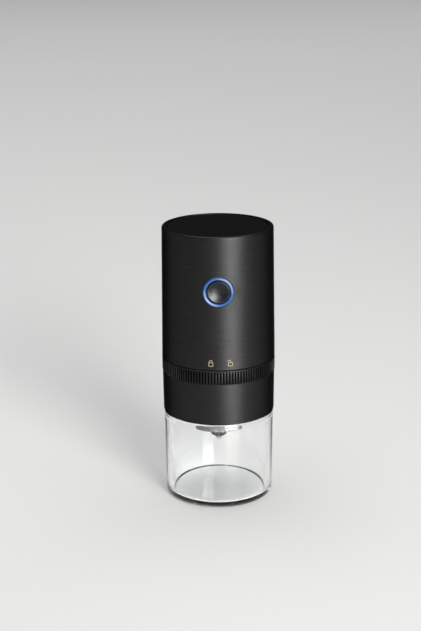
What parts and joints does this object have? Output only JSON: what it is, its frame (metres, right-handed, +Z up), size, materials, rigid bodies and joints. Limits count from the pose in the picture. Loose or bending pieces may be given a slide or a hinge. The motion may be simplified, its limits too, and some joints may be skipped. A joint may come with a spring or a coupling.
{
  "type": "portable electric coffee grinder",
  "caption": "Slim battery coffee grinder: black round head with a lit push button, knurled lock ring, collar with a conical burr, and a clear glass jar that catches the grounds.",
  "frame": {"origin": "centre of the jar's base, on the surface that the grinder stands on", "axes": "+Z up along the grinder's axis, the button faces -Y, the charging socket faces +Y"},
  "size_m": [0.066, 0.066, 0.162],
  "materials": {
    "clear_glass": "clear pressed glass",
    "satin_black": "satin black moulded plastic",
    "matte_top": "matte black",
    "ring_black": "satin black, knurled",
    "knob_black": "black",
    "dark_plastic": "fine matte texture",
    "grey_plastic": "matte grey",
    "cream_plastic": "natural nylon",
    "grey_silicone": "soft matte",
    "lit_blue": "translucent, lit blue",
    "led_white": "white chip",
    "spun_metal": "turned, dark anodised",
    "steel": "bright steel",
    "cast_zinc": "die cast",
    "bronze": "sintered bronze",
    "copper": "enamelled copper",
    "ferrite": "sintered ferrite",
    "white_ceramic": "white technical ceramic",
    "cell_sleeve": "shrink sleeve",
    "board_green": "solder mask",
    "red_lead": "soft insulation"
  },
  "bodies": {
    "jar": {"jar": "clear_glass"},
    "lower_unit": {"collar_shell": "satin_black", "jar_seal": "grey_silicone", "hopper": "dark_plastic", "hopper_screws": "steel", "outer_burr": "white_ceramic", "burr_carrier": "grey_plastic", "carrier_screws": "steel", "pin_guide": "bronze"},
    "lock_ring": {"lock_ring": "ring_black"},
    "grind_knob": {"grind_knob": "knob_black", "knob_clip": "steel"},
    "lift_pin": {"lift_pin": "steel"},
    "inner_burr": {"inner_burr": "white_ceramic", "burr_hub": "steel", "burr_clip": "steel"},
    "head": {"head_base": "dark_plastic", "head_shell": "satin_black", "top_cover": "matte_top", "inner_frame": "dark_plastic", "frame_screws": "steel", "shaft_seal": "grey_silicone", "bearing_outer_race": "steel", "gearbox_can": "cast_zinc", "gearbox_screws": "steel", "gearbox_cover": "cast_zinc", "motor_screws": "steel", "motor_can": "steel", "motor_magnets": "ferrite", "motor_bushes": "bronze", "motor_brushes": "bronze", "motor_endcap": "cream_plastic", "motor_terminals": "bronze", "battery_left": "cell_sleeve", "battery_right": "cell_sleeve", "cell_strap": "steel", "control_board": "board_green", "tact_switch": "knob_black", "ring_leds": "led_white", "charge_board": "board_green", "charge_socket": "steel", "light_ring": "lit_blue", "motor_leads": "red_lead"},
    "rotor": {"rotor_core": "steel", "rotor_windings": "copper", "motor_shaft": "steel", "commutator": "copper", "sun_pinion": "steel"},
    "drive": {"planet_carrier": "steel", "planet_pins": "steel", "drive_shaft": "steel", "bearing_inner_race": "steel", "bearing_balls": "steel"},
    "planet_1": {"planet_gear_1": "cream_plastic"},
    "planet_2": {"planet_gear_2": "cream_plastic"},
    "planet_3": {"planet_gear_3": "cream_plastic"},
    "button": {"button_cap": "spun_metal", "button_stem": "knob_black", "switch_plunger": "knob_black"}
  },
  "joints": [
    {"name": "unit_lift", "type": "slide", "parent": "jar", "child": "lower_unit", "axis": [0, 0, 1], "range_m": [0, 0.04]},
    {"name": "lock_ring_turn", "type": "hinge", "parent": "lower_unit", "child": "lock_ring", "pos_m": [0, 0, 0.0805], "axis": [0, 0, -1], "range_deg": [0, 20]},
    {"name": "grind_knob_turn", "type": "hinge", "parent": "lower_unit", "child": "grind_knob", "pos_m": [0, 0, 0.037], "axis": [0, 0, 1], "range_deg": [0, 302]},
    {"name": "lift_pin_slide", "type": "slide", "parent": "lower_unit", "child": "lift_pin", "axis": [0, 0, 1], "range_m": [0, 0.000833]},
    {"name": "inner_burr_spin", "type": "hinge", "parent": "lift_pin", "child": "inner_burr", "pos_m": [0, 0, 0.055], "axis": [0, 0, 1], "continuous": true},
    {"name": "head_lift", "type": "slide", "parent": "lower_unit", "child": "head", "axis": [0, 0, 1], "range_m": [0, 0.045]},
    {"name": "drive_spin", "type": "hinge", "parent": "head", "child": "drive", "pos_m": [0, 0, 0.09], "axis": [0, 0, 1], "continuous": true},
    {"name": "rotor_spin", "type": "hinge", "parent": "head", "child": "rotor", "pos_m": [0, 0, 0.118], "axis": [0, 0, 1], "continuous": true},
    {"name": "button_press", "type": "slide", "parent": "head", "child": "button", "axis": [0, 1, 0], "range_m": [0, 0.0005], "stiffness_N_per_m": 2000},
    {"name": "planet_1_spin", "type": "hinge", "parent": "drive", "child": "planet_1", "pos_m": [0.0063, 0, 0.0983], "axis": [0, 0, 1], "continuous": true},
    {"name": "planet_2_spin", "type": "hinge", "parent": "drive", "child": "planet_2", "pos_m": [-0.00315, 0.00546, 0.0983], "axis": [0, 0, 1], "continuous": true},
    {"name": "planet_3_spin", "type": "hinge", "parent": "drive", "child": "planet_3", "pos_m": [-0.00315, -0.00546, 0.0983], "axis": [0, 0, 1], "continuous": true}
  ],
  "couplings": [
    {"joint": "grind_knob_turn", "follows": "lift_pin_slide", "rad_per_m": 6283.2},
    {"joint": "inner_burr_spin", "follows": "drive_spin", "ratio": 1},
    {"joint": "rotor_spin", "follows": "drive_spin", "ratio": 5},
    {"joint": "planet_1_spin", "follows": "drive_spin", "ratio": -2.6667},
    {"joint": "planet_2_spin", "follows": "drive_spin", "ratio": -2.6667},
    {"joint": "planet_3_spin", "follows": "drive_spin", "ratio": -2.6667}
  ]
}
